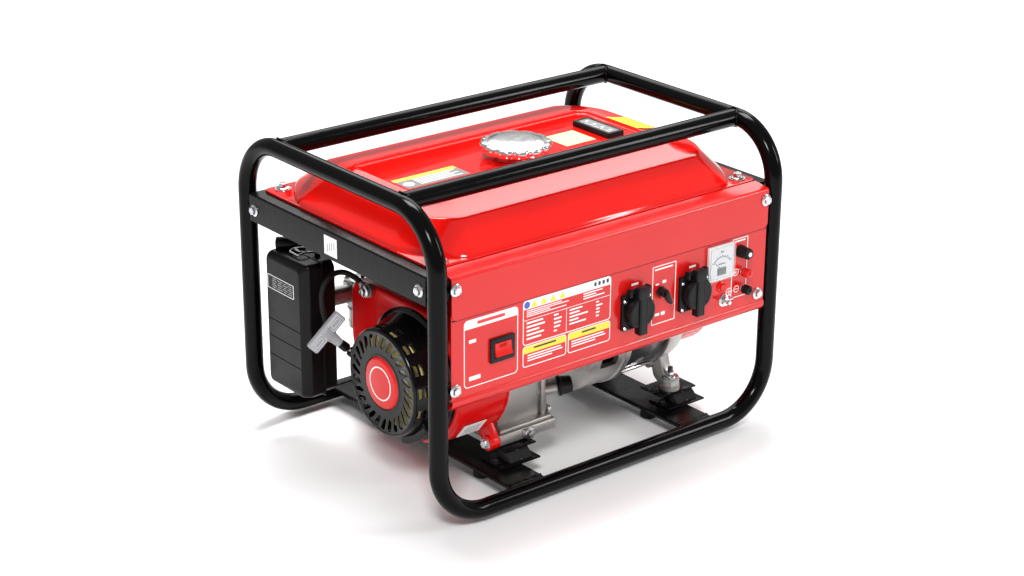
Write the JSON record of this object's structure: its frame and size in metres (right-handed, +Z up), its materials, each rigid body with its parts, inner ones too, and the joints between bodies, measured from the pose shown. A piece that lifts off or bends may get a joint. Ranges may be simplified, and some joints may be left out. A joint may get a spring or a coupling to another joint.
{
  "type": "portable generator",
  "caption": "Portable petrol generator in an open tube frame: fuel tank on top, front control panel with sockets, recoil-start engine driving an alternator.",
  "frame": {"origin": "centre of the bounding box in X and Y, on the ground under the rubber feet", "axes": "+X along the crankshaft from the recoil starter to the alternator, -Y out of the control panel, +Z up"},
  "size_m": [0.6, 0.461, 0.439],
  "materials": {
    "black_paint": "gloss",
    "red_paint": "gloss",
    "rubber": "matte",
    "black_plastic": "satin",
    "red_plastic": "gloss",
    "grey_plastic": "satin",
    "cast_aluminium": "cast",
    "steel": "satin",
    "chrome": "polished",
    "zinc_gold": "satin",
    "copper_core": "gloss varnish",
    "white_plastic": "gloss",
    "rope": "braided",
    "muffler_steel": "heat-resistant matte"
  },
  "bodies": {
    "generator": {"air_cleaner_body": "black_plastic", "air_cleaner_cover": "black_plastic", "alternator_end_cover": "red_paint", "alternator_front_bracket": "cast_aluminium", "alternator_rear_bracket": "cast_aluminium", "carburettor": "cast_aluminium", "control_panel": "red_paint", "crankcase": "cast_aluminium", "cross_member_left": "black_paint", "cross_member_right": "black_paint", "cylinder_head": "cast_aluminium", "earth_stud": "steel", "end_plate_left": "black_paint", "end_plate_right": "black_paint", "engine_switch_body": "black_plastic", "fan_shroud": "red_paint", "foot_front_left": "rubber", "foot_front_right": "rubber", "foot_rear_left": "rubber", "foot_rear_right": "rubber", "fuel_gauge": "black_plastic", "hoop_left": "black_paint", "hoop_right": "black_paint", "muffler": "muffler_steel", "recoil_cover": "black_paint", "rubber_mount_front_left": "rubber", "rubber_mount_front_right": "rubber", "rubber_mount_rear_left": "rubber", "rubber_mount_rear_right": "rubber", "socket_1": "black_plastic", "socket_2": "black_plastic", "starter_badge": "red_plastic", "starter_rope": "rope", "stator": "copper_core", "tank_lower": "black_paint", "tank_upper": "red_paint", "top_rail_front": "black_paint", "top_rail_rear": "black_paint", "trim_band": "red_paint", "voltmeter": "white_plastic"},
    "crank": {"crankshaft": "steel", "flywheel": "cast_aluminium", "starter_cup": "zinc_gold", "rotor": "copper_core"},
    "starter_reel": {"starter_reel": "white_plastic"},
    "starter_handle": {"starter_handle": "grey_plastic"},
    "fuel_cap": {"fuel_cap": "chrome"},
    "fuel_tap_lever": {"fuel_tap_lever": "red_plastic"},
    "choke_lever": {"choke_lever": "black_plastic"},
    "engine_switch_rocker": {"engine_switch_rocker": "red_plastic"},
    "socket_lid_1": {"socket_lid_1": "black_plastic"},
    "socket_lid_2": {"socket_lid_2": "black_plastic"},
    "selector_knob": {"selector_knob": "black_plastic"},
    "breaker_button": {"breaker_button": "red_plastic"},
    "fuse_knob": {"fuse_knob": "black_plastic"},
    "terminal_red": {"terminal_red": "red_plastic"},
    "terminal_black": {"terminal_black": "black_plastic"},
    "air_clip_top": {"air_clip_top": "steel"},
    "air_clip_bottom": {"air_clip_bottom": "steel"},
    "oil_dipstick": {"oil_dipstick": "black_plastic"}
  },
  "joints": [
    {"name": "crank_spin", "type": "hinge", "parent": "generator", "child": "crank", "pos_m": [0, -0.054, 0.153], "axis": [1, 0, 0], "continuous": true},
    {"name": "starter_reel_spin", "type": "hinge", "parent": "generator", "child": "starter_reel", "pos_m": [0, -0.054, 0.153], "axis": [1, 0, 0], "range_deg": [0, 1150]},
    {"name": "starter_handle_pull", "type": "slide", "parent": "generator", "child": "starter_handle", "axis": [-0.6594, 0.2997, 0.6894], "range_m": [0, 0.6], "stiffness_N_per_m": 30, "springref_m": -0.02},
    {"name": "fuel_cap_turn", "type": "hinge", "parent": "generator", "child": "fuel_cap", "pos_m": [0, -0.001, 0.4043], "axis": [0, 0, 1], "range_deg": [0, 90]},
    {"name": "fuel_tap_turn", "type": "hinge", "parent": "generator", "child": "fuel_tap_lever", "pos_m": [-0.1963, 0.067, 0.278], "axis": [1, 0, 0], "range_deg": [0, 90]},
    {"name": "choke_turn", "type": "hinge", "parent": "generator", "child": "choke_lever", "pos_m": [-0.182, 0.105, 0.212], "axis": [0, 1, 0], "range_deg": [0, 60]},
    {"name": "engine_switch_rock", "type": "hinge", "parent": "generator", "child": "engine_switch_rocker", "pos_m": [-0.1925, -0.2118, 0.2368], "axis": [1, 0, 0], "range_deg": [0, 20]},
    {"name": "socket_lid_1_swing", "type": "hinge", "parent": "generator", "child": "socket_lid_1", "pos_m": [0.031, -0.22, 0.2625], "axis": [-1, 0, 0], "range_deg": [0, 100], "stiffness_Nm_per_rad": 0.01, "springref_deg": -11.46},
    {"name": "socket_lid_2_swing", "type": "hinge", "parent": "generator", "child": "socket_lid_2", "pos_m": [0.134, -0.22, 0.2625], "axis": [-1, 0, 0], "range_deg": [0, 100], "stiffness_Nm_per_rad": 0.01, "springref_deg": -11.46},
    {"name": "selector_turn", "type": "hinge", "parent": "generator", "child": "selector_knob", "pos_m": [0.077, -0.2108, 0.246], "axis": [0, 1, 0], "range_deg": [0, 60]},
    {"name": "breaker_press", "type": "slide", "parent": "generator", "child": "breaker_button", "axis": [0, 1, 0], "range_m": [0, 0.003], "stiffness_N_per_m": 200},
    {"name": "fuse_knob_turn", "type": "hinge", "parent": "generator", "child": "fuse_knob", "pos_m": [0.2225, -0.2108, 0.269], "axis": [0, 1, 0], "range_deg": [0, 90]},
    {"name": "terminal_red_turn", "type": "hinge", "parent": "generator", "child": "terminal_red", "pos_m": [0.228, -0.2108, 0.238], "axis": [0, 1, 0], "range_deg": [0, 720]},
    {"name": "terminal_black_turn", "type": "hinge", "parent": "generator", "child": "terminal_black", "pos_m": [0.23, -0.2108, 0.213], "axis": [0, 1, 0], "range_deg": [0, 720]},
    {"name": "air_clip_top_swing", "type": "hinge", "parent": "generator", "child": "air_clip_top", "pos_m": [-0.242, 0.1395, 0.275], "axis": [0, 1, 0], "range_deg": [0, 100]},
    {"name": "air_clip_bottom_swing", "type": "hinge", "parent": "generator", "child": "air_clip_bottom", "pos_m": [-0.242, 0.1395, 0.077], "axis": [0, -1, 0], "range_deg": [0, 100]},
    {"name": "dipstick_turn", "type": "hinge", "parent": "generator", "child": "oil_dipstick", "pos_m": [-0.02174, -0.11914, 0.10404], "axis": [0.8687, -0.4778, 0.1303], "range_deg": [0, 720]}
  ],
  "couplings": [
    {"joint": "starter_reel_spin", "follows": "starter_handle_pull", "rad_per_m": 33.333}
  ]
}
